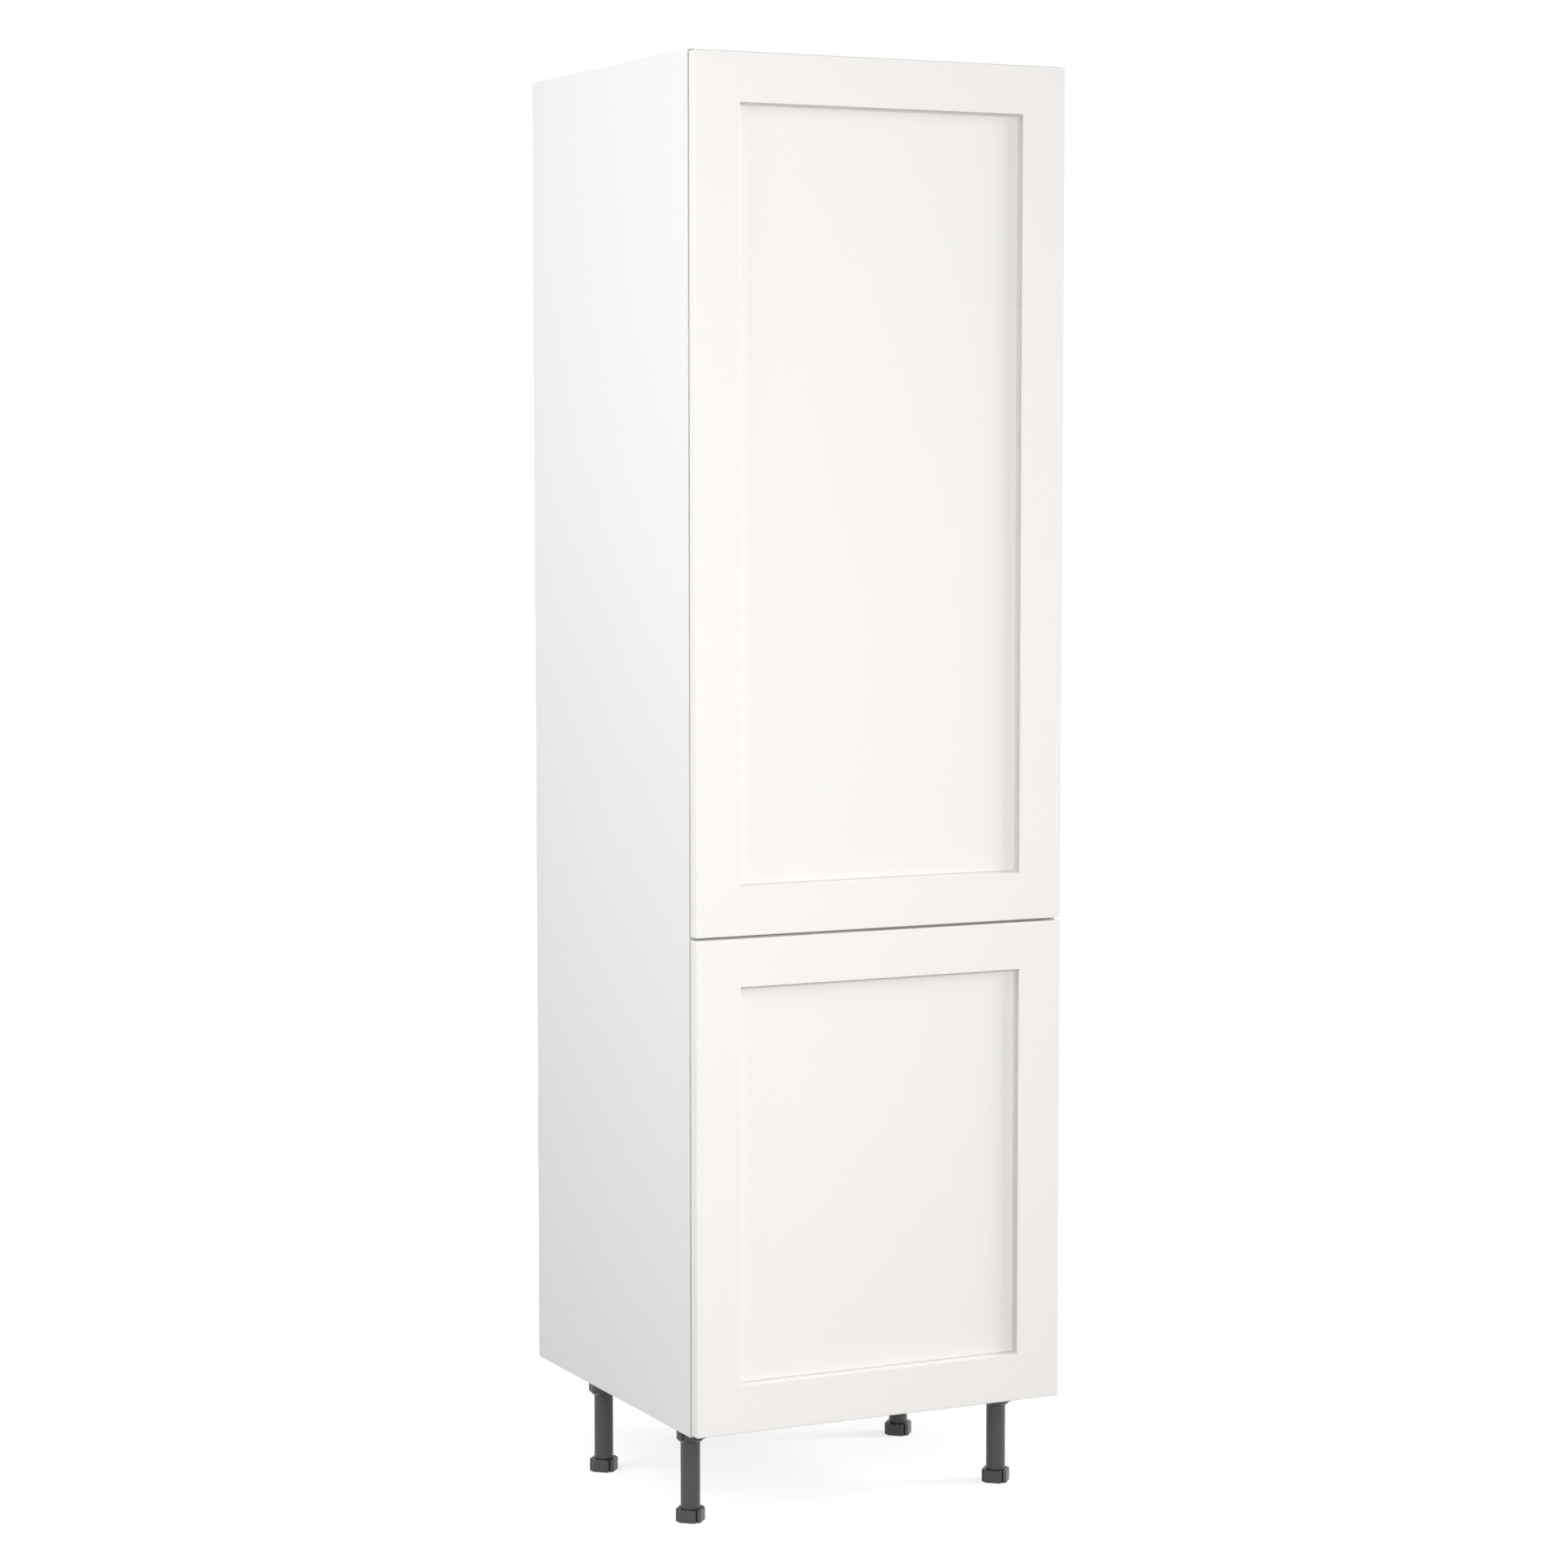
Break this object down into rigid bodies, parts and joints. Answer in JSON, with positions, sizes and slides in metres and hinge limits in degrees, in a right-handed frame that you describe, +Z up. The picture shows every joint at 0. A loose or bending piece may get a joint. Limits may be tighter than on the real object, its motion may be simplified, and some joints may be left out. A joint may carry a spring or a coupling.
{
  "type": "fridge housing unit",
  "caption": "Tall white housing for a built-in fridge freezer: open-backed board carcass, shaker doors on concealed hinges and screw-adjusted plinth legs.",
  "frame": {"origin": "on the floor, under the middle of the closed unit's outline", "axes": "+Z up, +Y from the doors to the open back, +X to the right as seen from the front"},
  "size_m": [0.6, 0.592, 2.13],
  "materials": {
    "board": "white melamine-faced board, fine matt grain",
    "door_foil": "satin ivory-white foil on routed fibreboard",
    "zinc_steel": "dull zinc plate",
    "hinge_steel": "satin nickel plate",
    "bumper": "cloudy soft plastic",
    "leg_plastic": "moulded dark grey plastic, slight sheen"
  },
  "bodies": {
    "carcass": {"side_panel_left": "board", "side_panel_right": "board", "base_panel": "board", "niche_shelf": "board", "top_panel": "board", "back_rail_bottom": "board", "back_rail_middle": "board", "back_rail_top": "board", "wall_bracket_left": "zinc_steel", "wall_bracket_right": "zinc_steel", "lower_hinge_1_plate": "zinc_steel", "lower_hinge_1_arm": "hinge_steel", "lower_hinge_2_plate": "zinc_steel", "lower_hinge_2_arm": "hinge_steel", "upper_hinge_1_plate": "zinc_steel", "upper_hinge_1_arm": "hinge_steel", "upper_hinge_2_plate": "zinc_steel", "upper_hinge_2_arm": "hinge_steel", "upper_hinge_3_plate": "zinc_steel", "upper_hinge_3_arm": "hinge_steel", "leg_socket_front_left": "leg_plastic", "leg_tube_front_left": "leg_plastic", "leg_socket_front_right": "leg_plastic", "leg_tube_front_right": "leg_plastic", "leg_socket_back_left": "leg_plastic", "leg_tube_back_left": "leg_plastic", "leg_socket_back_right": "leg_plastic", "leg_tube_back_right": "leg_plastic"},
    "lower_door": {"lower_door": "door_foil", "lower_door_bumper_bottom": "bumper", "lower_door_bumper_top": "bumper", "lower_hinge_1_cup": "hinge_steel", "lower_hinge_2_cup": "hinge_steel"},
    "upper_door": {"upper_door": "door_foil", "upper_door_bumper_bottom": "bumper", "upper_door_bumper_top": "bumper", "upper_hinge_1_cup": "hinge_steel", "upper_hinge_2_cup": "hinge_steel", "upper_hinge_3_cup": "hinge_steel"},
    "foot_front_left": {"leg_foot_front_left": "leg_plastic"},
    "foot_front_right": {"leg_foot_front_right": "leg_plastic"},
    "foot_back_left": {"leg_foot_back_left": "leg_plastic"},
    "foot_back_right": {"leg_foot_back_right": "leg_plastic"}
  },
  "joints": [
    {"name": "lower_door_swing", "type": "hinge", "parent": "carcass", "child": "lower_door", "pos_m": [0.2945, -0.29, 0.513], "axis": [0, 0, 1], "range_deg": [0, 100]},
    {"name": "upper_door_swing", "type": "hinge", "parent": "carcass", "child": "upper_door", "pos_m": [0.2945, -0.29, 1.502], "axis": [0, 0, 1], "range_deg": [0, 100]},
    {"name": "foot_front_left_screw", "type": "slide", "parent": "carcass", "child": "foot_front_left", "axis": [0, 0, -1], "range_m": [0, 0.025]},
    {"name": "foot_front_right_screw", "type": "slide", "parent": "carcass", "child": "foot_front_right", "axis": [0, 0, -1], "range_m": [0, 0.025]},
    {"name": "foot_back_left_screw", "type": "slide", "parent": "carcass", "child": "foot_back_left", "axis": [0, 0, -1], "range_m": [0, 0.025]},
    {"name": "foot_back_right_screw", "type": "slide", "parent": "carcass", "child": "foot_back_right", "axis": [0, 0, -1], "range_m": [0, 0.025]}
  ]
}
